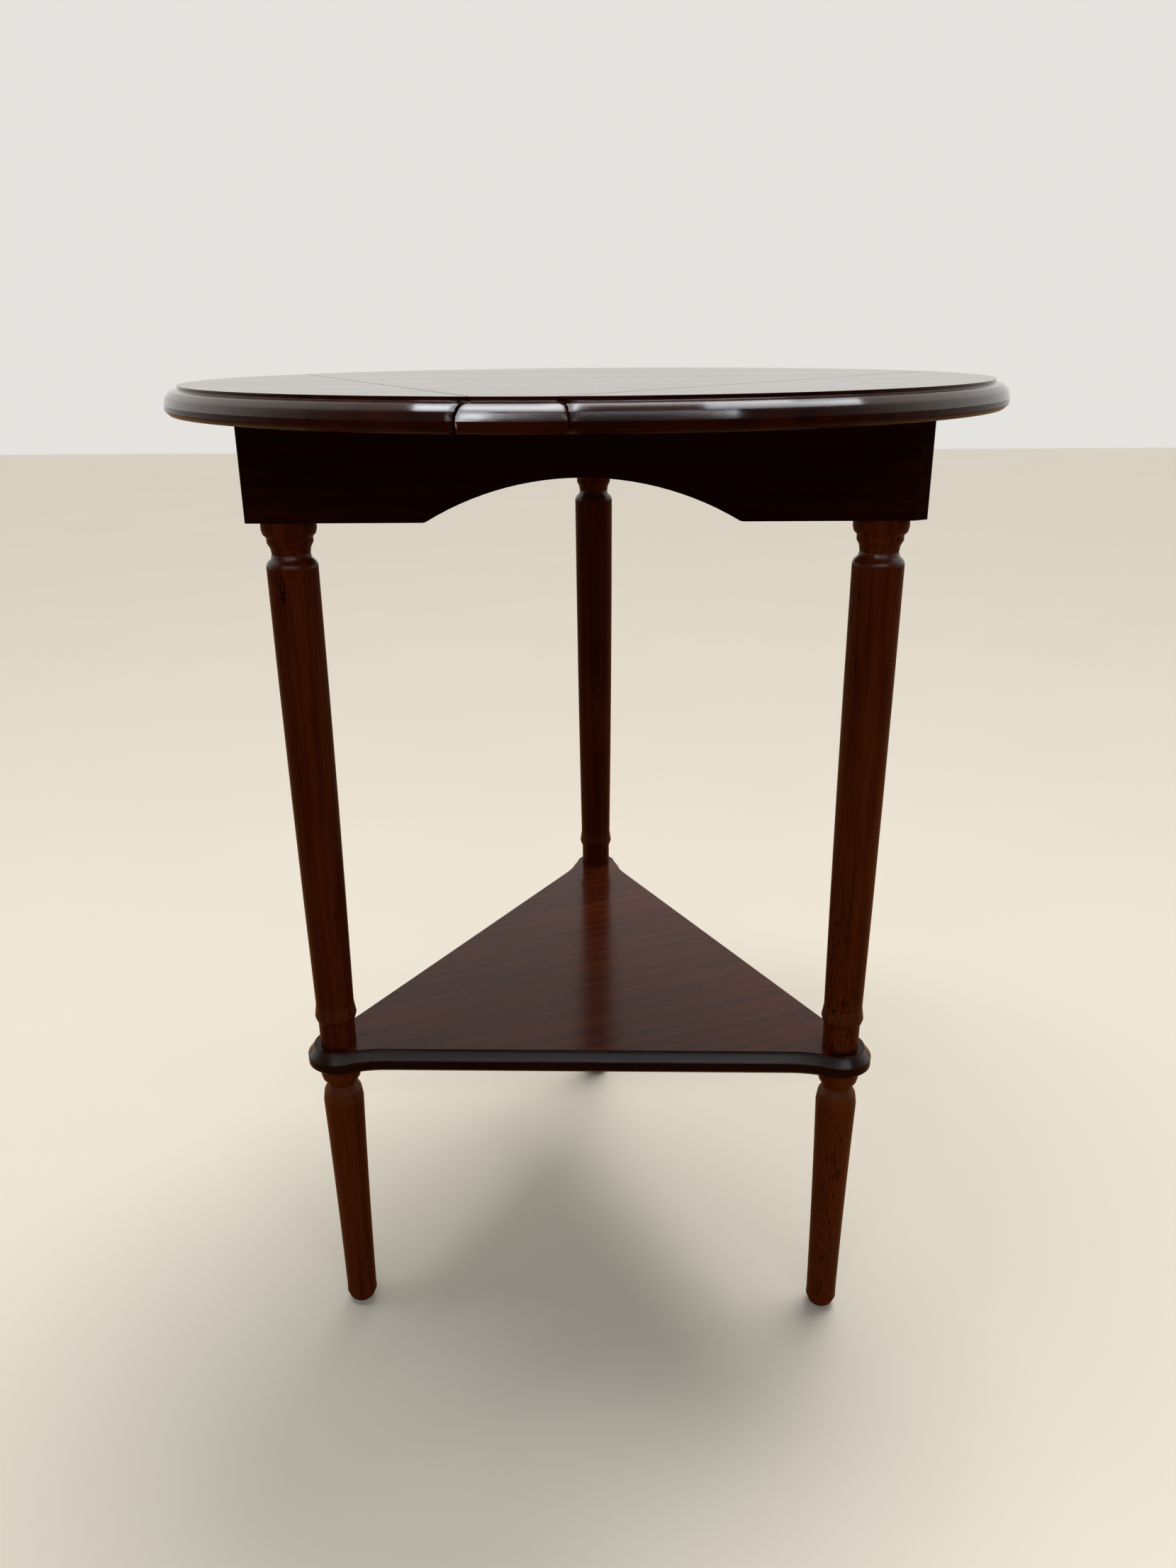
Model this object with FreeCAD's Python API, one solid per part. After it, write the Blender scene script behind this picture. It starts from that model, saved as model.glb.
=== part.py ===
import FreeCAD, Part
import math
import os

from FreeCAD import Vector

# A round side table on three turned legs. Its top is a three-cornered centre board that turns on a
# pivot over a three-cornered frame, with three leaves hung from it on rule joints. Turned so that the
# frame's corners stand under the leaves, as here, the corners carry the leaves level.
# Millimetres, +Z up, origin on the floor under the middle of the top.

# Whole table
table_height = 662.0
top_radius = 260.0
top_thickness = 16.0
# Degrees from the place where the centre board's corners stand over the frame's corners
top_turn = 54.0
# Running gap between the top and the frame below it
bearing_gap = 0.3
# Gap on the radius of a glued round tenon
glue_gap = 0.1

# Moulded edge of the top: a square step, a round nose and a bevelled lower edge
edge_step = 1.85
edge_nose = 8.5
edge_bevel = 2.6

# Moulded edge of the shelf
shelf_step = 0.7
shelf_nose_width = 4.7
shelf_nose_height = 6.1
shelf_bevel = 3.0

# Rule joints between the centre board and the leaves
centre_corner_width = 40.0
rule_fillet = 2.4
rule_clearance = 1.2
seam_gap = 0.9
pin_rise = 5.0

# Drop-leaf hinges, let in flush with the underside
hinge_spacing = 220.0
hinge_width = 32.0
hinge_plate = 2.0
hinge_neck = 3.0
short_plate_length = 26.0
long_plate_length = 46.0
barrel_diameter = 6.0
pin_diameter = 3.0
pin_clearance = 0.05
knuckle_gap = 0.3
plate_swing_gap = 0.7
barrel_groove_gap = 0.6
lift_gap = 0.9

# Apron boards
apron_face_distance = 116.7
apron_thickness = 10.5
apron_height = 58.7
apron_upright_round = 2.2
arch_half_width = 91.0
arch_rise = 24.9
arch_end_round = 6.0

# Glue blocks in the corners of the frame
block_depth = 42.0
block_height = 40.0

# Pivot: flanged stud under the centre board, turning in a bush in a rail across the frame
rail_width = 60.0
rail_thickness = 18.0
rail_housing = 5.0
pivot_flange_diameter = 76.0
pivot_flange_thickness = 3.0
stud_diameter = 10.0
stud_end = 3.0
bush_wall = 2.0
bush_stand = 1.5
nut_width = 16.0
nut_height = 8.0

# Shelf: straight sides that swell into a round ear at each leg
shelf_top = 228.0
shelf_thickness = 16.0
ear_margin = 4.4
ear_swell = 6.5
ear_blend_round = 80.0

# How far the legs stand in from the inner corners of the frame
leg_inset = 11.0

# Upper legs: radii, and drops below the apron, from the collar down to the shaft
collar_radius = 16.35
collar_straight = 5.2
collar_drop = 10.0
fillet_radius = 13.7
fillet_drop = 13.0
neck_radius = 11.4
neck_drop = 19.8
shoulder_radius = 14.2
shoulder_drop = 24.3
shaft_top_radius = 15.35
shaft_top_drop = 27.5
shaft_middle_radius = 14.6

# Upper legs: radii, and rises above the shelf, from the foot of the shaft down
waist_radius = 12.85
waist_rise = 31.5
ring_radius = 14.1
ring_rise = 22.6
ring_quirk_radius = 13.1
ring_quirk_rise = 19.3
base_radius = 12.2

# Lower legs: radii, and drops below the shelf, down to the top of the shaft
cup_radius = 14.5
cup_side_radius = 13.9
cup_side_drop = 8.0
cup_foot_radius = 10.8
cup_drop = 14.2
lower_neck_radius = 10.2
lower_neck_drop = 16.6
lower_shoulder_radius = 13.9
lower_shoulder_drop = 29.0
lower_shaft_top_radius = 14.0
lower_shaft_top_drop = 29.8
lower_shaft_middle_radius = 11.95

# Lower legs: radii, and heights above the floor
ankle_radius = 10.75
ankle_height = 14.0
foot_round_radius = 9.2
foot_round_height = 4.0
foot_flat_radius = 5.5

# Round tenons of the legs
top_tenon_diameter = 18.0
top_tenon_length = 30.0
shelf_tenon_diameter = 14.0
shelf_tenon_reach = 24.0
socket_end_gap = 1.0

# How far a cutting tool runs past the board it cuts, and how closely an edge is found by its place
over = 5.0
near = 0.05
# Widest turn, in degrees, of one of the flats that make up a turned round
flat_turn = 32.0

# Angles of a three-cornered figure, in degrees
side_turn = 60.0
half_angle = side_turn / 2
front = 270.0
corner_angles = {"left": front - side_turn, "right": front + side_turn, "rear": front - 3 * side_turn}
apron_angles = {"front": front, "left": front - 2 * side_turn, "right": front + 2 * side_turn}
top_corner = corner_angles["left"] + top_turn
leaf_angles = {
    "left": top_corner - side_turn,
    "right": top_corner + side_turn,
    "rear": top_corner + 3 * side_turn,
}

# Places that follow from the sizes above
z_axis = Vector(0, 0, 1)
y_axis = Vector(0, 1, 0)
top_underside = table_height - top_thickness
apron_top = top_underside - bearing_gap
apron_bottom = apron_top - apron_height
apron_inner_distance = apron_face_distance - apron_thickness
corner_slope = math.tan(math.radians(half_angle))
side_slope = math.tan(math.radians(side_turn))
leg_circle = 2 * apron_inner_distance - leg_inset
shelf_bottom = shelf_top - shelf_thickness
ear_radius = base_radius + ear_margin + shelf_nose_width
shelf_edge_distance = leg_circle / 2 + ear_radius - ear_swell
arris_radius = top_radius - edge_nose
corner_half_angle = math.degrees(math.asin(centre_corner_width / 2 / arris_radius))
seam_distance = arris_radius * math.cos(math.radians(side_turn - corner_half_angle))
seam_reach = math.sqrt(top_radius ** 2 - seam_distance ** 2) + over
rule_radius = top_thickness - rule_fillet - pin_rise
cove_radius = rule_radius + rule_clearance
pin_height = top_underside + pin_rise
barrel_radius = barrel_diameter / 2
strap_reach = pin_rise + plate_swing_gap
hinge_places = {"1": -hinge_spacing / 2, "2": hinge_spacing / 2}
stud_bore = stud_diameter / 2 + pin_clearance
bush_radius = stud_bore + bush_wall
bush_top = top_underside - pivot_flange_thickness - bearing_gap
rail_top = bush_top - bush_stand
rail_bottom = rail_top - rail_thickness


def polar(radius, angle, z=0.0):
    """Point at a radius and an angle about the table's axis."""
    turn = math.radians(angle)
    return Vector(radius * math.cos(turn), radius * math.sin(turn), z)


def turned_to(shape, angle):
    """Copy of a shape turned about the table's axis."""
    copy = shape.copy()
    copy.rotate(Vector(0, 0, 0), z_axis, angle)
    return copy


def moved(shape, place):
    """Copy of a shape moved by a vector."""
    copy = shape.copy()
    copy.translate(place)
    return copy


def box(x0, x1, y0, y1, z0, z1):
    """Box between two opposite corners."""
    return Part.makeBox(x1 - x0, y1 - y0, z1 - z0, Vector(x0, y0, z0))


def rod(radius, z0, z1, place=Vector(0, 0, 0)):
    """Upright cylinder between two heights."""
    return Part.makeCylinder(radius, z1 - z0, place + Vector(0, 0, z0))


def prism(points, z0, z1):
    """Upright prism on a plan polygon."""
    corners = [Vector(point.x, point.y, z0) for point in points]
    face = Part.Face(Part.makePolygon(corners + corners[:1]))
    return face.extrude(Vector(0, 0, z1 - z0))


def arc(start, through, end):
    """Circular edge through three points."""
    return Part.Arc(start, through, end).toShape()


def edges_at(solid, test):
    """Edges of a solid whose ends all pass a test."""
    return [edge for edge in solid.Edges if all(test(end) for end in edge.Vertexes)]


def rounded(start, through, end):
    """Edges of a turned round: one shallow arc, or a few flats on a bold one, as the pieces repeat."""
    curve = Part.Arc(start, through, end)
    first, last = curve.FirstParameter, curve.LastParameter
    count = math.ceil((last - first) / math.radians(flat_turn))
    if count == 1:
        return [curve.toShape()]
    stops = [curve.value(first + (last - first) * number / count) for number in range(1, count)]
    places = [start, *sorted(stops, key=lambda stop: stop.distanceToPoint(start)), end]
    return [Part.makeLine(here, there) for here, there in zip(places, places[1:])]


def lathe(steps):
    """Solid of revolution. Each step is the radius and height to go to, after those of a point to pass."""
    edges = []
    here = Vector(steps[0][0], 0, steps[0][1])
    for step in steps[1:] + steps[:1]:
        there = Vector(step[-2], 0, step[-1])
        if len(step) == 2:
            edges.append(Part.makeLine(here, there))
        else:
            edges += rounded(here, Vector(step[0], 0, step[1]), there)
        here = there
    return Part.Face(Part.Wire(edges)).revolve(Vector(0, 0, 0), z_axis, 360)


def upright_at(first, second):
    """Middle of the arc between two radius and height pairs that stands upright at the first one."""
    across, rise = second[0] - first[0], second[1] - first[1]
    bend = (across ** 2 + rise ** 2) / (2 * across)
    half = math.atan2(rise, bend - across) / 2 if bend > 0 else math.atan2(rise, across - bend) / 2
    return first[0] + bend * (1 - math.cos(half)), first[1] + abs(bend) * math.sin(half)


# Turned legs

def upper_leg():
    """Leg from shelf to apron on the table's axis, with its top tenon and lower socket."""
    waist = (waist_radius, shelf_top + waist_rise)
    shaft_top = (shaft_top_radius, apron_bottom - shaft_top_drop)
    neck = (neck_radius, apron_bottom - neck_drop)
    shoulder = (shoulder_radius, apron_bottom - shoulder_drop)
    fillet = (fillet_radius, apron_bottom - fillet_drop)
    collar = (collar_radius, apron_bottom - collar_straight)
    collar_foot = (fillet_radius, apron_bottom - collar_drop)
    tenon_radius = top_tenon_diameter / 2
    tenon_top = apron_bottom + top_tenon_length
    leg = lathe([
        (0, shelf_top),
        (base_radius, shelf_top),
        (base_radius, shelf_top + ring_quirk_rise),
        (ring_quirk_radius, shelf_top + ring_quirk_rise),
        (ring_radius, shelf_top + ring_rise),
        waist,
        (shaft_middle_radius, (waist[1] + shaft_top[1]) / 2, *shaft_top),
        (*upright_at(shaft_top, shoulder), *shoulder),
        (*upright_at(neck, shoulder), *neck),
        (*upright_at(neck, fillet), *fillet),
        collar_foot,
        (*upright_at(collar, collar_foot), *collar),
        (collar_radius, apron_bottom),
        (tenon_radius, apron_bottom),
        (tenon_radius, tenon_top),
        (0, tenon_top),
    ])
    socket_top = shelf_top + shelf_tenon_reach + socket_end_gap
    return leg.cut(rod(shelf_tenon_diameter / 2 + glue_gap, shelf_top - over, socket_top))


def lower_leg():
    """Leg below the shelf on the table's axis, with the tenon that goes up through the shelf."""
    shaft_top = (lower_shaft_top_radius, shelf_bottom - lower_shaft_top_drop)
    shoulder = (lower_shoulder_radius, shelf_bottom - lower_shoulder_drop)
    neck = (lower_neck_radius, shelf_bottom - lower_neck_drop)
    cup_foot = (cup_foot_radius, shelf_bottom - cup_drop)
    cup_side = (cup_side_radius, shelf_bottom - cup_side_drop)
    tenon_radius = shelf_tenon_diameter / 2
    tenon_top = shelf_top + shelf_tenon_reach
    return lathe([
        (0, 0),
        (foot_flat_radius, 0),
        (foot_round_radius, foot_round_height, ankle_radius, ankle_height),
        (lower_shaft_middle_radius, (ankle_height + shaft_top[1]) / 2, *shaft_top),
        shoulder,
        (*upright_at(shoulder, neck), *neck),
        cup_foot,
        (*upright_at(cup_side, cup_foot), *cup_side),
        (cup_radius, shelf_bottom),
        (tenon_radius, shelf_bottom),
        (tenon_radius, tenon_top),
        (0, tenon_top),
    ])


def tenon_bore(diameter, z0, z1, angle):
    """Bore for a leg's tenon at one corner."""
    return rod(diameter / 2 + glue_gap, z0, z1, polar(leg_circle, angle))


# Shelf

def shelf_outline(inset, z):
    """Face inside the shelf's plan outline, or inside a line set in from it all round."""
    ear = ear_radius - inset
    blend = ear_blend_round + inset
    side = shelf_edge_distance - leg_circle / 2 + ear_blend_round
    along = math.sqrt((ear_radius + ear_blend_round) ** 2 - side ** 2)
    corners = []
    for angle in corner_angles.values():
        middle = polar(leg_circle, angle, z)
        flanks = []
        for hand in (-1, 1):
            normal = polar(1, angle + hand * side_turn)
            away = polar(1, angle + hand * (side_turn + 90))
            blend_middle = middle + normal * side + away * along
            on_ear = middle + (blend_middle - middle).normalize() * ear
            on_side = blend_middle - normal * blend
            between = ((on_ear - blend_middle) + (on_side - blend_middle)).normalize()
            flanks.append((on_side, blend_middle + between * blend, on_ear))
        corners.append((flanks[0], middle + polar(ear, angle), flanks[1]))
    edges = []
    for number, (entry, apex, leave) in enumerate(corners):
        following = corners[(number + 1) % len(corners)][0]
        edges.append(arc(*entry))
        edges.append(arc(entry[2], apex, leave[2]))
        edges.append(arc(leave[2], leave[1], leave[0]))
        edges.append(Part.makeLine(leave[0], following[0]))
    return Part.Face(Part.Wire(edges))


def shelf():
    """Shelf board with its moulded edge and the three holes for the lower legs' tenons."""
    ledge = shelf_top - shelf_step
    board = shelf_outline(0, shelf_bottom).extrude(Vector(0, 0, ledge - shelf_bottom))
    board = board.makeChamfer(shelf_bevel, edges_at(board, lambda end: abs(end.Z - shelf_bottom) < near))
    at_ledge = edges_at(board, lambda end: abs(end.Z - ledge) < near)
    board = board.makeChamfer(shelf_nose_height, shelf_nose_width, at_ledge)
    flat = shelf_outline(shelf_nose_width, ledge).extrude(Vector(0, 0, shelf_step))
    board = board.fuse(flat).removeSplitter()
    bores = [tenon_bore(shelf_tenon_diameter, shelf_bottom - over, shelf_top + over, angle)
             for angle in corner_angles.values()]
    return board.cut(bores)


# Frame

def apron(facing):
    """Apron board with its arch. One end runs past the corner, the other butts on the next board's back."""
    outer_corner = apron_face_distance * side_slope
    through_end = outer_corner - apron_thickness * corner_slope
    butt_end = outer_corner - apron_thickness / math.cos(math.radians(half_angle))
    board = prism([
        Vector(-through_end, -apron_face_distance, 0),
        Vector(butt_end, -apron_face_distance, 0),
        Vector(apron_inner_distance * side_slope, -apron_inner_distance, 0),
        Vector(-through_end, -apron_inner_distance, 0),
    ], apron_bottom, apron_top)
    arch_radius = (arch_half_width ** 2 + arch_rise ** 2) / (2 * arch_rise)
    arch_middle = apron_bottom + arch_rise - arch_radius
    arch_start = Vector(0, -apron_face_distance - over, arch_middle)
    board = board.cut(Part.makeCylinder(arch_radius, apron_thickness + 2 * over, arch_start, y_axis))

    def at_arch_end(end):
        return abs(abs(end.X) - arch_half_width) < near and abs(end.Z - apron_bottom) < near

    def at_upright(end):
        return abs(end.X + through_end) < near and abs(end.Y + apron_face_distance) < near

    board = board.makeFillet(arch_end_round, edges_at(board, at_arch_end))
    board = board.makeFillet(apron_upright_round, edges_at(board, at_upright))
    return turned_to(board, facing - front)


def corner_block(angle):
    """Glue block that fills an inner corner of the frame."""
    apex = 2 * apron_inner_distance
    base = apex - block_depth
    half_base = block_depth * corner_slope
    plan = [Vector(apex, 0, 0), Vector(base, half_base, 0), Vector(base, -half_base, 0)]
    return turned_to(prism(plan, apron_bottom, apron_bottom + block_height), angle)


def pivot_rail():
    """Rail across the frame through the pivot, housed at both ends in the side aprons."""
    reach = 2 * (apron_inner_distance + rail_housing)
    ends = prism([polar(reach, angle) for angle in corner_angles.values()], rail_bottom, rail_top)
    bar = box(-reach, reach, -rail_width / 2, rail_width / 2, rail_bottom, rail_top)
    return ends.common(bar).cut(rod(bush_radius, rail_bottom - over, rail_top + over))


def pivot_bush():
    """Sleeve in the rail that the stud turns in, standing a little proud to carry the top."""
    return rod(bush_radius, rail_bottom, bush_top).cut(rod(stud_bore, rail_bottom - over, bush_top + over))


def frame_pieces():
    """Every piece of the standing frame, by name."""
    rail = pivot_rail()
    pieces = {"pivot_rail": rail, "pivot_bush": pivot_bush(), "shelf": shelf()}
    socket_end = apron_bottom + top_tenon_length + socket_end_gap
    sockets = {name: tenon_bore(top_tenon_diameter, apron_bottom - over, socket_end, angle)
               for name, angle in corner_angles.items()}
    for name, facing in apron_angles.items():
        pieces["apron_" + name] = apron(facing).cut([rail, *sockets.values()])
    upper, lower = upper_leg(), lower_leg()
    for name, angle in corner_angles.items():
        place = polar(leg_circle, angle)
        pieces["corner_block_" + name] = corner_block(angle).cut(sockets[name])
        pieces["upper_leg_" + name] = moved(upper, place)
        pieces["lower_leg_" + name] = moved(lower, place)
    return pieces


# Hinges, made about a hinge pin lying along Y with the leaf on the +X side

def hinge_half(plate_length, y0, y1):
    """Flat plate of a hinge with the strap and the solid knuckle of its own half of the width."""
    lower, upper = -pin_rise, hinge_plate - pin_rise
    plate = box(strap_reach, strap_reach + plate_length, -hinge_width / 2, hinge_width / 2, lower, upper)
    strap = box(-hinge_neck / 2, strap_reach, y0, y1, lower, upper)
    neck = box(-hinge_neck / 2, hinge_neck / 2, y0, y1, lower, 0)
    knuckle = Part.makeCylinder(barrel_radius, y1 - y0, Vector(0, y0, 0), y_axis)
    return plate.fuse([strap, neck, knuckle]).removeSplitter()


def hinge_set():
    """Both halves of one hinge, and the tools that let it into the centre board and the leaf."""
    end, meeting = hinge_width / 2, knuckle_gap / 2
    pin = Part.makeCylinder(pin_diameter / 2, end + meeting, Vector(0, -meeting, 0), y_axis)
    bore = Part.makeCylinder(pin_diameter / 2 + pin_clearance, end + over, Vector(0, 0, 0), y_axis)
    groove_half = end + barrel_groove_gap
    groove_top = barrel_radius + barrel_groove_gap
    below = -pin_rise - over
    groove = box(-strap_reach, groove_top, -groove_half, groove_half, below, groove_top)
    slot = box(0, cove_radius, -groove_half, groove_half, below, hinge_plate - pin_rise + lift_gap)
    short_end, long_end = strap_reach + short_plate_length, strap_reach + long_plate_length
    short_mortise = box(-short_end, -strap_reach, -end, end, below, hinge_plate - pin_rise)
    long_mortise = box(strap_reach, long_end, -end, end, below, hinge_plate - pin_rise)
    short_half = turned_to(hinge_half(short_plate_length, meeting, end), 180)
    return {
        "short_plate": short_half.fuse(pin).removeSplitter(),
        "long_plate": hinge_half(long_plate_length, meeting, end).cut(bore),
        "centre_tools": [groove, slot, short_mortise],
        "leaf_tools": [long_mortise],
    }


# Top

def moulded_disc():
    """The whole round top with its moulded edge, before it is divided."""
    ledge = table_height - edge_step
    widest = (top_radius, ledge - edge_nose)
    return lathe([
        (0, top_underside),
        (top_radius - edge_bevel, top_underside),
        (top_radius, top_underside + edge_bevel),
        widest,
        (*upright_at(widest, (arris_radius, ledge)), arris_radius, ledge),
        (arris_radius, table_height),
        (0, table_height),
    ])


def along_seam(radius):
    """Cylinder about the hinge line of a seam that faces +X."""
    start = Vector(seam_distance, -seam_reach, pin_height)
    return Part.makeCylinder(radius, 2 * seam_reach, start, y_axis)


def centre_board(disc):
    """Three-cornered fixed board whose sides carry the round half of the rule joints."""
    corners = [polar(2 * seam_distance, angle + side_turn) for angle in leaf_angles.values()]
    body = prism(corners, top_underside - over, table_height + over)
    rounds = [turned_to(along_seam(rule_radius), angle) for angle in leaf_angles.values()]
    return disc.common(body.fuse(rounds))


def leaf_board(disc, angle):
    """One leaf, hollowed along its straight side to close over the round of the centre board."""
    reach = 2 * top_radius
    low, high = top_underside - over, table_height + over
    segment = box(seam_distance + seam_gap, reach, -reach, reach, low, high)
    relief = box(seam_distance, seam_distance + cove_radius, -seam_reach, seam_reach, low, pin_height)
    return disc.common(turned_to(segment.cut([along_seam(cove_radius), relief]), angle))


def pivot_pieces():
    """Flanged stud under the centre board, and the nut below the rail."""
    flange_bottom = top_underside - pivot_flange_thickness
    nut_top = rail_bottom - bearing_gap
    nut_bottom = nut_top - nut_height
    flange = rod(pivot_flange_diameter / 2, flange_bottom, top_underside)
    stud = rod(stud_diameter / 2, nut_bottom - stud_end, flange_bottom)
    across_corners = nut_width / math.cos(math.radians(half_angle))
    hexagon = [polar(across_corners / 2, number * side_turn) for number in range(6)]
    return {
        "pivot_plate": flange.fuse(stud).removeSplitter(),
        "pivot_nut": prism(hexagon, nut_bottom, nut_top).cut(rod(stud_bore, nut_bottom - over, nut_top + over)),
    }


def top_pieces():
    """Every piece of the turning top and of its three leaves, by name."""
    pieces = pivot_pieces()
    disc = moulded_disc()
    hinge = hinge_set()
    centre_tools = []
    for leaf, angle in leaf_angles.items():
        leaf_tools = []
        for number, along in hinge_places.items():
            place = Vector(seam_distance, along, pin_height)

            def set_in(shapes):
                return [turned_to(moved(shape, place), angle) for shape in shapes]

            for half in ("short_plate", "long_plate"):
                pieces[f"hinge_{half}_{leaf}_{number}"] = set_in([hinge[half]])[0]
            centre_tools += set_in(hinge["centre_tools"])
            leaf_tools += set_in(hinge["leaf_tools"])
        pieces["leaf_" + leaf] = leaf_board(disc, angle).cut(leaf_tools)
    pieces["top_centre"] = centre_board(disc).cut(centre_tools)
    return pieces


os.makedirs("parts", exist_ok=True)
for name, shape in {**frame_pieces(), **top_pieces()}.items():
    shape.exportStep("parts/" + name + ".step")
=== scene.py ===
import math

import bpy
from mathutils import Matrix, Vector


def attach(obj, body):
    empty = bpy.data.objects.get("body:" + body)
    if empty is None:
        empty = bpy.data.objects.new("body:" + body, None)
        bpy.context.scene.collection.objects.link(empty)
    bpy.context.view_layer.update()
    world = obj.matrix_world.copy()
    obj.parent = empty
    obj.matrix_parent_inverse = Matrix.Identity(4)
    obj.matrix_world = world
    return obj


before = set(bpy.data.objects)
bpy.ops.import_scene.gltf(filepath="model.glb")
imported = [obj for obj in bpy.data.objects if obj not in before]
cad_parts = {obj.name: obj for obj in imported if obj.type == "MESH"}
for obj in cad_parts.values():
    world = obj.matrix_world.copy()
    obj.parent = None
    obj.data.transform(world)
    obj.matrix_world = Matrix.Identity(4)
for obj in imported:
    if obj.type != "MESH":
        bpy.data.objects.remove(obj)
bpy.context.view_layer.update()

# Places on the table, in metres
SEAM_DISTANCE = 0.142672
TOP_UNDERSIDE = 0.646
FLANGE_UNDERSIDE = 0.643
HINGE_ALONG = {"1": -0.110, "2": 0.110}
LEAF_ANGLES = {"left": 204.0, "right": 324.0, "rear": 84.0}
LEG_CORNERS = ("left", "right", "rear")
LEG_FEET = ((-0.17442, -0.1007, 0.228), (0.17442, -0.1007, 0.228), (0.0, 0.2014, 0.228))
LEG_PORES = {"left": 0.5, "right": 1.3, "rear": 0.8}
# Stain tone of each leg; the rear leg's is the lowest, as painted shade from the top above it
LEG_TONES_AND_SHADE = {"left": 0.02, "right": 0.11, "rear": 0.0}
SHORT_PLATE_SCREWS = ((-0.0190, -0.0095), (-0.0190, 0.0095))
LONG_PLATE_SCREWS = ((0.0180, -0.0095), (0.0180, 0.0095), (0.0420, 0.0))
FLANGE_SCREW_CIRCLE = 0.029
FLANGE_SCREW_ANGLES = (45.0, 135.0, 225.0, 315.0)
CHIP_PLACE = (-0.0524, -0.2547, 0.6498)
KNOT_PLACE = (-0.1776, -0.1156, 0.5475)

# Sizes of the screw heads, in metres
SCREW_RADIUS = 0.0031
SCREW_DEPTH = 0.0008
SCREW_STAND = 0.00022
SCREW_RIM_EASE = 0.00016
SCREW_SLOT = (0.0080, 0.0008, 0.00036)

# Camera of the photograph, in metres, degrees and millimetres
CAMERA_PLACE = (0.0208, -0.8022, 0.6867)
CAMERA_YAW = -1.571
CAMERA_PITCH = 20.805
CAMERA_ROLL = -0.497
CAMERA_SENSOR_HEIGHT = 36.0
CAMERA_LENS = 27.035

# Light panels, each with its two ends, the point it faces, its width and its power
PANELS = {
    "near_panel": ((-0.95, -0.10, 2.5), (-0.03, -0.38, 2.5), (-0.1, -0.2, 0.6), 0.34, 15.0),
    "right_panel": ((0.65, -0.23, 2.5), (1.65, 0.54, 2.5), (0.1, -0.2, 0.6), 0.16, 5.0),
    "far_panel": ((-1.35, -2.42, 1.82), (1.7, -2.1, 1.82), (0.0, 0.0, 0.6), 0.07, 24.0),
}
PANEL_COLOUR = (0.90, 0.95, 1.0)

# Finish colours, as linear red, green and blue
PORE = (0.0030, 0.0006, 0.0003)
DEEP = (0.0160, 0.0022, 0.0006)
BODY = (0.0480, 0.0068, 0.0012)
WARM = (0.0950, 0.0190, 0.0030)
WORN = (0.1400, 0.0500, 0.0180, 1.0)
BARE = (0.4800, 0.2900, 0.1500, 1.0)
BLOCK_DARK = (0.050, 0.022, 0.010, 1.0)
BLOCK_LIGHT = (0.160, 0.080, 0.036, 1.0)
BRASS_LIGHT = (0.52, 0.33, 0.11, 1.0)
BRASS_DARK = (0.20, 0.12, 0.045, 1.0)
STEEL_LIGHT = (0.46, 0.46, 0.45, 1.0)
STEEL_DARK = (0.24, 0.235, 0.22, 1.0)
FLOOR_DIM = (0.63, 0.57, 0.48, 1.0)
FLOOR_PALE = (0.66, 0.60, 0.51, 1.0)
FLOOR_BOUNCE = (0.30, 0.15, 0.055, 1.0)
ROOM_FRONT = (0.10, 0.10, 0.10, 1.0)
ROOM_BEHIND = (0.78, 0.77, 0.74, 1.0)


class Shade:
    """A socket in a node tree. Arithmetic on sockets adds Math nodes."""

    def __init__(self, tree, socket=None):
        self.tree = tree
        self.socket = socket

    def node(self, kind, settings=None, inputs=None, output=0):
        """Adds a node: its settings first, then a value or a link for each of its sockets."""
        made = self.tree.nodes.new(kind)
        for name, value in (settings or {}).items():
            if name == "stops":
                ramp = made.color_ramp
                while len(ramp.elements) < len(value):
                    ramp.elements.new(1.0)
                for element, (place, colour) in zip(ramp.elements, value):
                    element.position = place
                    element.color = colour
            else:
                setattr(made, name, value)
        for name, value in (inputs or {}).items():
            if isinstance(value, Shade):
                self.tree.links.new(value.socket, made.inputs[name])
            else:
                made.inputs[name].default_value = value
        return Shade(self.tree, made.outputs[output] if made.outputs else None)

    def maths(self, operation, first, second):
        return self.node("ShaderNodeMath", {"operation": operation}, {0: first, 1: second})

    def __add__(self, other):
        return self.maths("ADD", self, other)

    __radd__ = __add__

    def __sub__(self, other):
        return self.maths("SUBTRACT", self, other)

    def __rsub__(self, other):
        return self.maths("SUBTRACT", other, self)

    def __mul__(self, other):
        return self.maths("MULTIPLY", self, other)

    __rmul__ = __mul__

    def between(self, low, high):
        """This value taken from low..high to 0..1, smoothly and held at both ends."""
        return self.node("ShaderNodeMapRange", {"interpolation_type": "SMOOTHSTEP"},
                         {"Value": self, "From Min": low, "From Max": high})

    def stretched(self, factors):
        """These coordinates, each times its own factor."""
        return self.node("ShaderNodeVectorMath", {"operation": "MULTIPLY"}, {0: self, 1: factors})

    def moved(self, other):
        """These coordinates moved by other ones."""
        return self.node("ShaderNodeVectorMath", {"operation": "ADD"}, {0: self, 1: other})

    def noise(self, scale, detail=2.0, roughness=0.5, distortion=0.0, output=0):
        """Noise over these coordinates."""
        return self.node("ShaderNodeTexNoise", None, {
            "Vector": self, "Scale": scale, "Detail": detail, "Roughness": roughness,
            "Distortion": distortion,
        }, output)

    def blended(self, first, second):
        """One colour going over to another as this value goes from 0 to 1."""
        return self.node("ShaderNodeMix", {"data_type": "RGBA"}, {0: self, 6: first, 7: second}, 2)


def new_finish(name):
    """Empty material and the start of its shader sums."""
    material = bpy.data.materials.new(name)
    material.use_nodes = True
    material.node_tree.nodes.clear()
    return material, Shade(material.node_tree)


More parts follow.
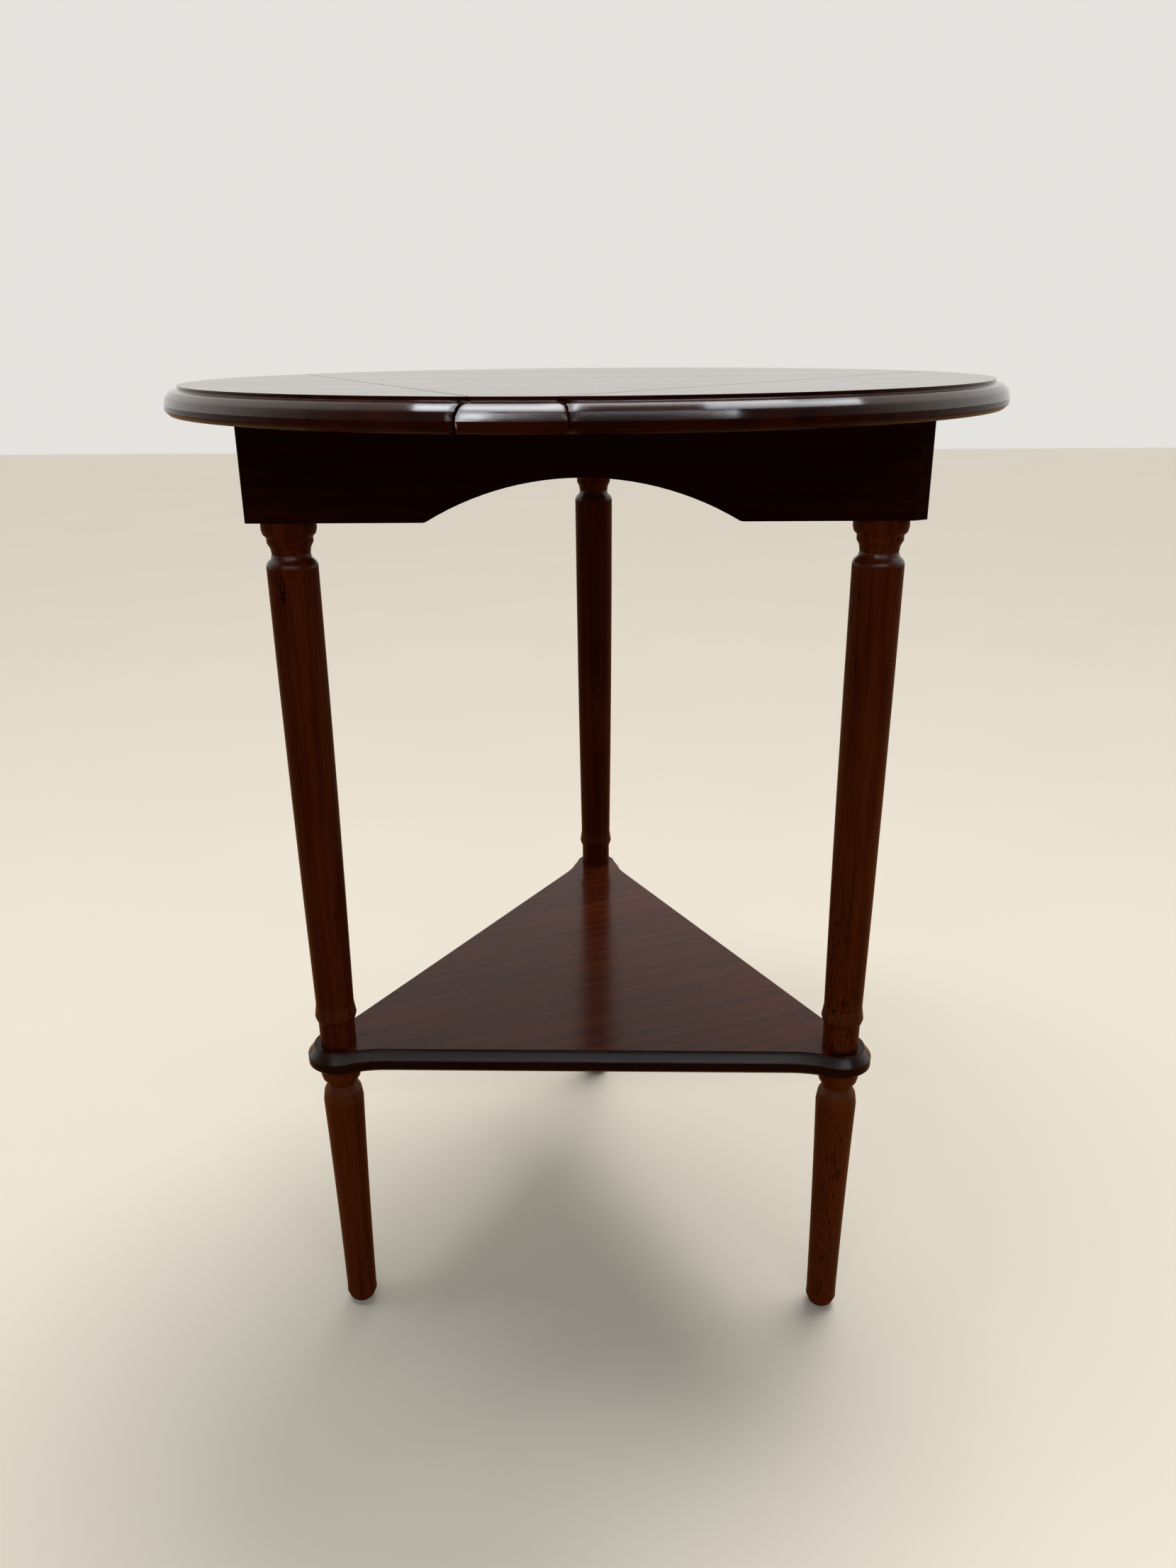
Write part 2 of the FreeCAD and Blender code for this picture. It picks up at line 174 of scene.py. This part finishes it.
def lacquer(start, **sockets):
    """Shader with these sockets, an underscore standing for a space."""
    inputs = {name.replace("_", " "): value for name, value in sockets.items()}
    return start.node("ShaderNodeBsdfPrincipled", None, inputs)


def close_finish(start, shader):
    """Joins a shader to the material's output."""
    start.node("ShaderNodeOutputMaterial", None, {"Surface": shader})


def upward(start, normal):
    """How far a normal points up, from -1 to 1."""
    return start.node("ShaderNodeSeparateXYZ", None, {"Vector": normal}, "Z")


def distance(start, place, point, stretch):
    """Distance of the surface from a point, with each direction stretched."""
    reach = place.moved(tuple(-value for value in point)).stretched(stretch)
    return start.node("ShaderNodeVectorMath", {"operation": "LENGTH"}, {0: reach}, "Value")


def rounded_normal(start, radius):
    """Normal that runs smoothly over arrises, as lacquer does."""
    return start.node("ShaderNodeBevel", {"samples": 6}, {"Radius": radius})


def worn_arris(start, face_normal, soft_normal):
    """1 on sharp arrises and 0 on faces."""
    lean = start.node("ShaderNodeVectorMath", {"operation": "DOT_PRODUCT"}, {
        0: face_normal, 1: soft_normal,
    }, "Value")
    return (1.0 - lean).between(0.01, 0.12)


def mahogany(name, turn, shift, heart=(0.6, 0.05, 0.05), bands=1.0, pores=1.0, figure=1.0, tone=0.0,
             depth=1.0, edge_shade_depth=1.0, gloss=0.2, sheen=0.1, gleam=0.4, polish=0.0, arris=0.002,
             round_over=0.0, wear=0.12, relief=0.3, chip=None, knot=None, leg_feet=()):
    """Stained and lacquered mahogany whose grain runs along X once the coordinates are turned.

    Tone and depth set the stain; on the aprons they also darken the wood as painted shade. The edge depth is
    how much darker moulded edges are painted, as painted shade. Gloss is the roughness. Sheen is the shine of
    upright faces, gleam that of faces that look up, and polish an extra coat on rounds. Arris and round_over
    are the radii to which corners are eased in the light.
    """
    material, start = new_finish(name)
    place = start.node("ShaderNodeTexCoord", None, None, "Object")
    turned = start.node("ShaderNodeMapping", None, {
        "Vector": place, "Rotation": tuple(math.radians(angle) for angle in turn), "Location": shift,
    })
    sway = turned.stretched((3.0, 9.0, 9.0)).noise(1.0, 2.0, 0.5, 0.0, "Color")
    wander = sway.moved((-0.5, -0.5, -0.5)).stretched((0.010, 0.010, 0.010))
    grain = turned.moved(wander)

    # Growth bands, finer streaks within them, and broad changes of tone
    rings = distance(start, grain, heart, (0.11, 1.0, 1.0))
    band = start.node("ShaderNodeMath", {"operation": "SINE"}, {0: rings * 560.0}) * 0.5 + 0.5
    streak = grain.stretched((6.0, 230.0, 230.0)).noise(1.0, 3.0, 0.6)
    fine = grain.stretched((22.0, 900.0, 900.0)).noise(1.0, 2.0, 0.6)
    broad = grain.stretched((2.5, 16.0, 16.0)).noise(1.0, 3.0, 0.55)
    value = (streak - 0.5) * (0.34 * figure) + (fine - 0.5) * (0.18 * figure) + (broad - 0.5) * 0.47
    value = value + (band - 0.5) * (0.10 * bands) + (0.53 + tone)
    stops = tuple((stop, tuple(depth * part for part in tint) + (1.0,))
                  for stop, tint in ((0.28, DEEP), (0.52, BODY), (0.80, WARM)))
    colour = start.node("ShaderNodeValToRGB", {"stops": stops}, {"Fac": value})

    # Moulded edges, and the shelf's ears outside the legs, are painted darker as painted shade, and have their
    # pores filled
    face_normal = start.node("ShaderNodeNewGeometry", None, None, "Normal")
    level = upward(start, face_normal)
    lean = level.maths("ABSOLUTE", level, 0.0)
    shaded_edge = 1.0 - lean.between(0.980, 0.995)
    # Round each leg's foot, on the ear outside the leg, painted contact shade darkens the shelf's face
    for foot in leg_feet:
        around = 1.0 - distance(start, place, foot, (1.0, 1.0, 0.0)).between(0.0160, 0.0185)
        outward = distance(start, place, (0.0, 0.0, 0.0), (1.0, 1.0, 0.0)).between(0.196, 0.206)
        shaded_edge = shaded_edge.maths("MAXIMUM", shaded_edge, around * outward)
    edge_calm = 1.0 if edge_shade_depth < 1.0 else 0.0
    colour = start.node("ShaderNodeMix", {"data_type": "RGBA", "blend_type": "MULTIPLY"}, {
        0: shaded_edge, 6: colour, 7: (edge_shade_depth, edge_shade_depth, edge_shade_depth, 1.0),
    }, 2)

    # Open pores: short dark dashes that come in patches
    dash = grain.stretched((120.0, 1900.0, 1900.0)).noise(1.0, 1.0, 0.4)
    patch = grain.stretched((9.0, 45.0, 45.0)).noise(1.0, 2.0, 0.5)
    pore = dash.between(0.58, 0.66) * patch.between(0.40, 0.62) * (pores - shaded_edge * (pores * edge_calm))
    pore = pore.maths("MINIMUM", pore, 1.0)
    colour = pore.blended(colour, PORE + (1.0,))

    # Flats that stand in for a round are shaded as one
    on_round = lean.between(0.04, 0.12) * (1.0 - lean.between(0.975, 0.990))
    soft = rounded_normal(start, on_round * round_over + arris)
    worn = worn_arris(start, face_normal, soft) * (broad.between(0.40, 0.62) * wear)
    colour = worn.blended(colour, WORN)
    dull = worn * 0.2
    if chip:
        lost = 1.0 - (distance(start, place, chip, (1.0, 1.0, 0.4)) + dash * 0.0006).between(0.0008, 0.0013)
        colour = lost.blended(colour, BARE)
        dull = dull + lost * 0.5
    if knot:
        within = 1.0 - distance(start, place, knot, (1.0, 1.0, 0.24)).between(0.0010, 0.0032)
        fleck = place.stretched((700.0, 700.0, 380.0)).noise(1.0, 2.0, 0.6)
        colour = (within * fleck.between(0.40, 0.56)).blended(colour, PORE + (1.0,))
        colour = (within * (1.0 - fleck.between(0.36, 0.44)) * 0.6).blended(colour, WARM + (1.0,))

    roughness = gloss + fine * 0.05 + broad * 0.05 + pore * 0.10 + dull
    height = fine * 0.25 + streak * 0.20 - pore * 0.8
    bump = start.node("ShaderNodeBump", None, {
        "Strength": relief, "Distance": 0.0001, "Height": height, "Normal": soft,
    })
    # Lacquer lies thicker, and shines more, on what faces up
    quiet = lacquer(start, Base_Color=colour, Roughness=roughness, Normal=bump, Specular_IOR_Level=sheen)
    bright = lacquer(start, Base_Color=colour, Roughness=roughness, Normal=bump, Specular_IOR_Level=gleam,
                     Coat_Weight=on_round * polish, Coat_Roughness=0.06)
    faces_up = level.between(0.06, 0.30)
    close_finish(start, start.node("ShaderNodeMixShader", None, {0: faces_up, 1: quiet, 2: bright}))
    return material


def inner_wood(name, turn):
    """Bare, darkened wood of the blocks and the rail under the top."""
    material, start = new_finish(name)
    place = start.node("ShaderNodeTexCoord", None, None, "Object")
    grain = start.node("ShaderNodeMapping", None, {
        "Vector": place, "Rotation": tuple(math.radians(angle) for angle in turn),
    })
    streak = grain.stretched((5.0, 160.0, 160.0)).noise(1.0, 4.0, 0.6)
    broad = grain.stretched((3.0, 14.0, 14.0)).noise(1.0, 2.0, 0.5)
    value = streak * 0.6 + broad * 0.4
    stops = ((0.30, BLOCK_DARK), (0.70, BLOCK_LIGHT))
    colour = start.node("ShaderNodeValToRGB", {"stops": stops}, {"Fac": value})
    soft = rounded_normal(start, 0.001)
    bump = start.node("ShaderNodeBump", None, {
        "Strength": 0.4, "Distance": 0.0002, "Height": streak, "Normal": soft,
    })
    close_finish(start, lacquer(start, Base_Color=colour, Roughness=0.55 + streak * 0.2, Normal=bump,
                                Specular_IOR_Level=0.3))
    return material


def dulled_metal(name, light, dark, stretch):
    """Satin metal with fine rubbing marks and dull patches."""
    material, start = new_finish(name)
    place = start.node("ShaderNodeTexCoord", None, None, "Object")
    rub = place.stretched(stretch).noise(1.0, 3.0, 0.6)
    cloud = place.noise(90.0, 4.0, 0.6)
    colour = cloud.between(0.35, 0.70).blended(light, dark)
    soft = rounded_normal(start, 0.0004)
    bump = start.node("ShaderNodeBump", None, {
        "Strength": 0.15, "Distance": 0.00005, "Height": rub, "Normal": soft,
    })
    roughness = 0.26 + rub * 0.12 + cloud * 0.12
    close_finish(start, lacquer(start, Base_Color=colour, Metallic=1.0, Roughness=roughness, Normal=bump))
    return material


def dress(node, material):
    """Gives a CAD node its finish."""
    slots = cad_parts[node].data.materials
    slots.clear()
    slots.append(material)


def dress_top():
    """Four boards of the top, all with the grain from left to right."""
    boards = {
        "top_centre": ((0.13, 0.31, 0.07), (0.55, -0.06, 0.70)),
        "leaf_left": ((0.47, 0.11, 0.19), (0.20, 0.16, 0.80)),
        "leaf_right": ((0.05, 0.53, 0.29), (0.62, 0.50, 0.90)),
        "leaf_rear": ((0.37, 0.23, 0.41), (0.22, 0.36, 1.00)),
    }
    for node, (shift, heart) in boards.items():
        # The rims are painted darker through the edge depth, as painted shade
        dress(node, mahogany(
            node + "_finish", turn=(0.0, 0.0, -2.0), shift=shift, heart=heart, pores=0.5, tone=-0.10,
            edge_shade_depth=0.6, gloss=0.05, sheen=0.06, gleam=0.4, polish=0.3, arris=0.0007, round_over=0.0030,
            wear=0.06, relief=0.08, chip=CHIP_PLACE if node == "top_centre" else None))


def dress_frame():
    """Aprons, shelf, legs, blocks and rail."""
    for number, (side, angle) in enumerate((("front", 0.0), ("left", -120.0), ("right", 120.0))):
        # The aprons' low tone and depth darken them as painted shade for the shade under the top
        dress("apron_" + side, mahogany(
            "apron_%s_finish" % side, turn=(0.0, 0.0, -angle), shift=(0.21 * number, 0.4, 0.6), bands=0.6,
            pores=0.5, tone=-0.16, depth=0.6, gloss=0.24, sheen=0.03, arris=0.0012, wear=0.05, relief=0.2))
    # The shelf's moulded edge and its ears round the legs are painted darker, as painted shade
    dress("shelf", mahogany(
        "shelf_finish", turn=(0.0, 0.0, -22.0), shift=(0.02, 0.01, 0.0), heart=(0.10, -0.045, 0.26), bands=0.8,
        pores=0.7, figure=1.2, tone=0.04, depth=1.1, edge_shade_depth=0.2, gloss=0.12, sheen=0.08, gleam=0.22,
        polish=0.7, arris=0.0007, round_over=0.0036, wear=0.02, relief=0.10, leg_feet=LEG_FEET))
    for number, corner in enumerate(LEG_CORNERS):
        shift = (0.7 + 0.37 * number, 0.3 * number, 0.2 * number)
        low_shift = (shift[0] + 1.3, shift[1], shift[2])
        pores = LEG_PORES[corner]
        dress("upper_leg_" + corner, mahogany(
            "upper_leg_%s_finish" % corner, turn=(0.0, 90.0, 0.0), shift=shift, bands=0.3, pores=pores,
            figure=1.7, tone=LEG_TONES_AND_SHADE[corner], gloss=0.16, sheen=0.05, gleam=0.5, arris=0.0010,
            round_over=0.0014, wear=0.08, knot=KNOT_PLACE if corner == "left" else None))
        dress("lower_leg_" + corner, mahogany(
            "lower_leg_%s_finish" % corner, turn=(0.0, 90.0, 0.0), shift=low_shift, bands=0.3, pores=pores,
            figure=1.7, tone=LEG_TONES_AND_SHADE[corner] + 0.17, gloss=0.18, sheen=0.05, gleam=0.4, arris=0.0010,
            round_over=0.0014, wear=0.08))
        dress("corner_block_" + corner, inner_wood("corner_block_%s_finish" % corner, (0.0, 90.0, 0.0)))
    dress("pivot_rail", inner_wood("pivot_rail_finish", (0.0, 0.0, 0.0)))


def dress_metal():
    """Hinges, pivot and bush. Returns the brass of the hinges and the steel of the pivot."""
    brass = dulled_metal("hinge_brass_finish", BRASS_LIGHT, BRASS_DARK, (900.0, 900.0, 60.0))
    steel = dulled_metal("pivot_steel_finish", STEEL_LIGHT, STEEL_DARK, (60.0, 900.0, 900.0))
    for leaf in LEAF_ANGLES:
        for number in HINGE_ALONG:
            dress("hinge_short_plate_%s_%s" % (leaf, number), brass)
            dress("hinge_long_plate_%s_%s" % (leaf, number), brass)
    dress("pivot_bush", brass)
    dress("pivot_plate", steel)
    dress("pivot_nut", steel)
    return brass, steel


def screw_head():
    """Slotted screw head with its face towards the floor and its rim eased."""
    bpy.ops.object.select_all(action="DESELECT")
    bpy.ops.mesh.primitive_cylinder_add(vertices=28, radius=SCREW_RADIUS, depth=SCREW_DEPTH)
    head = bpy.context.object
    head.name = "screw_head_pattern"
    bpy.ops.object.mode_set(mode="EDIT")
    bpy.ops.mesh.select_mode(type="FACE")
    bpy.ops.mesh.select_all(action="DESELECT")
    bpy.ops.object.mode_set(mode="OBJECT")
    for face in head.data.polygons:
        face.select = face.normal.z < -0.9
    bpy.ops.object.mode_set(mode="EDIT")
    bpy.ops.mesh.bevel(offset=SCREW_RIM_EASE, segments=3, affect="EDGES")
    bpy.ops.object.mode_set(mode="OBJECT")
    bpy.ops.object.select_all(action="DESELECT")
    bpy.ops.mesh.primitive_cube_add(size=1.0, location=(0.0, 0.0, -SCREW_DEPTH / 2))
    slot = bpy.context.object
    slot.scale = SCREW_SLOT
    bpy.ops.object.transform_apply(location=True, rotation=False, scale=True)
    bpy.ops.object.select_all(action="DESELECT")
    head.select_set(True)
    bpy.context.view_layer.objects.active = head
    cut = head.modifiers.new("slot", "BOOLEAN")
    cut.operation = "DIFFERENCE"
    cut.object = slot
    bpy.ops.object.modifier_apply(modifier=cut.name)
    bpy.data.objects.remove(slot)
    bpy.ops.object.shade_smooth_by_angle(angle=math.radians(35.0))
    return head


def drive_screw(pattern, name, place, turn, body, material):
    """One screw at its place, its slot turned as it happened to be driven."""
    mesh = pattern.data.copy()
    mesh.transform(Matrix.Translation(place) @ Matrix.Rotation(math.radians(turn), 4, "Z"))
    screw = bpy.data.objects.new(name, mesh)
    bpy.context.scene.collection.objects.link(screw)
    mesh.materials.clear()
    mesh.materials.append(material)
    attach(screw, body)


def drive_screws(brass, steel):
    """Screws of the hinge plates and of the pivot flange."""
    pattern = screw_head()
    rise = SCREW_DEPTH / 2 - SCREW_STAND
    count = 0
    for leaf, angle in LEAF_ANGLES.items():
        about = Matrix.Rotation(math.radians(angle), 4, "Z")
        for number, along in HINGE_ALONG.items():
            plates = (("short", "top", SHORT_PLATE_SCREWS), ("long", "leaf_" + leaf, LONG_PLATE_SCREWS))
            for half, body, places in plates:
                for order, (across, beside) in enumerate(places):
                    count += 1
                    place = about @ Vector((SEAM_DISTANCE + across, along + beside, TOP_UNDERSIDE + rise))
                    drive_screw(pattern, "screw_%s_%s_%s_%d" % (half, leaf, number, order + 1), place,
                                angle + 47.0 * count, body, brass)
    for order, angle in enumerate(FLANGE_SCREW_ANGLES):
        turn = math.radians(angle)
        place = Vector((FLANGE_SCREW_CIRCLE * math.cos(turn), FLANGE_SCREW_CIRCLE * math.sin(turn),
                        FLANGE_UNDERSIDE + rise))
        drive_screw(pattern, "screw_flange_%d" % (order + 1), place, angle + 31.0 * order, "top",
                    steel)
    bpy.data.objects.remove(pattern)


def lay_floor():
    """Plain pale floor under the table."""
    bpy.ops.object.select_all(action="DESELECT")
    bpy.ops.mesh.primitive_plane_add(size=14.0)
    floor = bpy.context.object
    floor.name = "studio_floor"
    material, start = new_finish("studio_floor_finish")
    place = start.node("ShaderNodeTexCoord", None, None, "Object")
    cloud = place.noise(3.0, 3.0, 0.5)
    pale = cloud.blended(FLOOR_DIM, FLOOR_PALE)
    # The light that it sends back to the table is that of a brown floor
    seen = start.node("ShaderNodeLightPath", None, None, "Is Camera Ray")
    colour = seen.blended(FLOOR_BOUNCE, pale)
    close_finish(start, lacquer(start, Base_Color=colour, Roughness=0.6, Specular_IOR_Level=0.2))
    floor.data.materials.append(material)


def hang_panel(name, start, end, aim, width, power, colour):
    """Soft light panel as a strip from one point to another, facing a third."""
    start, end, aim = Vector(start), Vector(end), Vector(aim)
    middle = (start + end) / 2
    light = bpy.data.lights.new(name, "AREA")
    light.shape = "RECTANGLE"
    light.size, light.size_y = (end - start).length, width
    light.energy = power
    light.color = colour
    along = (end - start).normalized()
    across = (middle - aim).cross(along).normalized()
    panel = bpy.data.objects.new(name, light)
    turn = Matrix((along, across, along.cross(across))).transposed().to_4x4()
    panel.matrix_world = Matrix.Translation(middle) @ turn
    bpy.context.scene.collection.objects.link(panel)


def light_studio():
    """Pale surroundings, brightest behind the table, with soft panels overhead and in front."""
    world = bpy.data.worlds.new("studio")
    bpy.context.scene.world = world
    world.use_nodes = True
    world.node_tree.nodes.clear()
    start = Shade(world.node_tree)
    way = start.node("ShaderNodeTexCoord", None, None, "Generated")
    depth = start.node("ShaderNodeSeparateXYZ", None, {"Vector": way}, "Y")
    around = depth.between(-0.5, 0.4).blended(ROOM_FRONT, ROOM_BEHIND)
    seen = start.node("ShaderNodeLightPath", None, None, "Is Camera Ray")
    colour = seen.blended(around, ROOM_BEHIND)
    shine = start.node("ShaderNodeBackground", None, {"Color": colour, "Strength": 1.0})
    start.node("ShaderNodeOutputWorld", None, {"Surface": shine})
    sun = bpy.data.lights.new("soft_overhead", "SUN")
    sun.energy = 1.9
    sun.angle = math.radians(30.0)
    overhead = bpy.data.objects.new("soft_overhead", sun)
    overhead.rotation_euler = (math.radians(-19.0), math.radians(10.0), 0.0)
    bpy.context.scene.collection.objects.link(overhead)
    for name, (one_end, other_end, aim, width, power) in PANELS.items():
        hang_panel(name, one_end, other_end, aim, width, power, PANEL_COLOUR)


def place_camera():
    """Camera at the photograph's place and angle."""
    yaw, pitch, roll = math.radians(CAMERA_YAW), math.radians(CAMERA_PITCH), math.radians(CAMERA_ROLL)
    ahead = Vector((math.sin(yaw) * math.cos(pitch), math.cos(yaw) * math.cos(pitch), -math.sin(pitch)))
    level = Vector((math.cos(yaw), -math.sin(yaw), 0.0))
    rise = level.cross(ahead)
    right = level * math.cos(roll) + rise * math.sin(roll)
    up = rise * math.cos(roll) - level * math.sin(roll)
    data = bpy.data.cameras.new("camera")
    data.sensor_fit = "VERTICAL"
    data.sensor_height = CAMERA_SENSOR_HEIGHT
    data.lens = CAMERA_LENS
    data.clip_start = 0.01
    camera = bpy.data.objects.new("camera", data)
    bpy.context.scene.collection.objects.link(camera)
    turn = Matrix((right, up, -ahead)).transposed().to_4x4()
    camera.matrix_world = Matrix.Translation(CAMERA_PLACE) @ turn
    bpy.context.scene.camera = camera


dress_top()
dress_frame()
hinge_brass, pivot_steel = dress_metal()
drive_screws(hinge_brass, pivot_steel)
lay_floor()
light_studio()
place_camera()
bpy.context.scene.view_settings.view_transform = "Standard"
